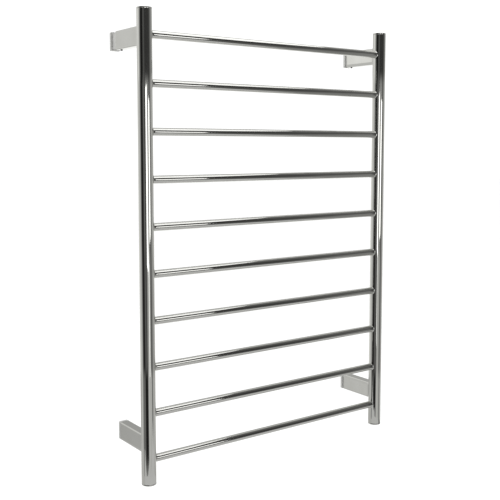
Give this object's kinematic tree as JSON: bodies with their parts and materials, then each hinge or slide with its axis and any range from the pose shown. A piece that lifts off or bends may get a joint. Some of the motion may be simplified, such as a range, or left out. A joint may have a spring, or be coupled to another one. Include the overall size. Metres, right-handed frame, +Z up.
{
  "type": "heated towel rail",
  "caption": "Wall-hung electric towel ladder: round posts joined by straight round rungs, on box-section brackets with adjustable wall bosses.",
  "frame": {"origin": "on the wall plane, midway between the two posts, level with the lower brackets' centreline", "axes": "+X along the rungs to the right seen from the front, +Y towards the wall, +Z up"},
  "size_m": [0.7, 0.15, 1],
  "materials": {
    "polished_steel": "mirror polished stainless steel",
    "satin_zinc": "satin",
    "black_steel": "blackened socket screw",
    "black_rubber": "matte",
    "red_silicone": "satin silicone sheath",
    "white_ceramic": "matte",
    "brass": "turned"
  },
  "bodies": {
    "rail": {"left_post": "polished_steel", "right_post": "polished_steel", "rung_01": "polished_steel", "rung_02": "polished_steel", "rung_03": "polished_steel", "rung_04": "polished_steel", "rung_05": "polished_steel", "rung_06": "polished_steel", "rung_07": "polished_steel", "rung_08": "polished_steel", "rung_09": "polished_steel", "rung_10": "polished_steel", "left_top_cap": "polished_steel", "right_top_cap": "polished_steel", "left_bottom_plug": "polished_steel", "right_bottom_plug": "polished_steel", "left_plug_seal": "black_rubber", "right_plug_seal": "black_rubber", "top_left_bracket_sleeve": "polished_steel", "top_right_bracket_sleeve": "polished_steel", "bottom_left_bracket_sleeve": "polished_steel", "bottom_right_bracket_sleeve": "polished_steel", "heating_cable": "red_silicone", "cable_end_seal": "black_rubber", "thermal_cutout": "white_ceramic", "lead_grommet": "black_rubber", "terminal_block": "white_ceramic", "earth_stud": "brass", "earth_tag": "brass", "earth_nut": "brass"},
    "top_left_boss": {"top_left_wall_boss": "satin_zinc"},
    "top_right_boss": {"top_right_wall_boss": "satin_zinc"},
    "bottom_left_boss": {"bottom_left_wall_boss": "satin_zinc"},
    "bottom_right_boss": {"bottom_right_wall_boss": "satin_zinc", "supply_inlet_grommet": "black_rubber"},
    "top_left_grub": {"top_left_grub_screw": "black_steel"},
    "top_right_grub": {"top_right_grub_screw": "black_steel"},
    "bottom_left_grub": {"bottom_left_grub_screw": "black_steel"},
    "bottom_right_grub": {"bottom_right_grub_screw": "black_steel"}
  },
  "joints": [
    {"name": "top_left_boss_slide", "type": "slide", "parent": "rail", "child": "top_left_boss", "axis": [0, 1, 0], "range_m": [-0.0197, 0.004]},
    {"name": "top_right_boss_slide", "type": "slide", "parent": "rail", "child": "top_right_boss", "axis": [0, 1, 0], "range_m": [-0.0057, 0.018]},
    {"name": "bottom_left_boss_slide", "type": "slide", "parent": "rail", "child": "bottom_left_boss", "axis": [0, 1, 0], "range_m": [-0.0012, 0.0225]},
    {"name": "bottom_right_boss_slide", "type": "slide", "parent": "rail", "child": "bottom_right_boss", "axis": [0, 1, 0], "range_m": [-0.0037, 0.02]},
    {"name": "top_left_grub_turn", "type": "hinge", "parent": "rail", "child": "top_left_grub", "pos_m": [-0.334, -0.034, 0.8355], "axis": [0, 0, -1], "range_deg": [-180, 180]},
    {"name": "top_right_grub_turn", "type": "hinge", "parent": "rail", "child": "top_right_grub", "pos_m": [0.334, -0.034, 0.8355], "axis": [0, 0, -1], "range_deg": [-180, 180]},
    {"name": "bottom_left_grub_turn", "type": "hinge", "parent": "rail", "child": "bottom_left_grub", "pos_m": [-0.334, -0.034, -0.02], "axis": [0, 0, -1], "range_deg": [-180, 180]},
    {"name": "bottom_right_grub_turn", "type": "hinge", "parent": "rail", "child": "bottom_right_grub", "pos_m": [0.334, -0.034, -0.02], "axis": [0, 0, -1], "range_deg": [-180, 180]}
  ]
}
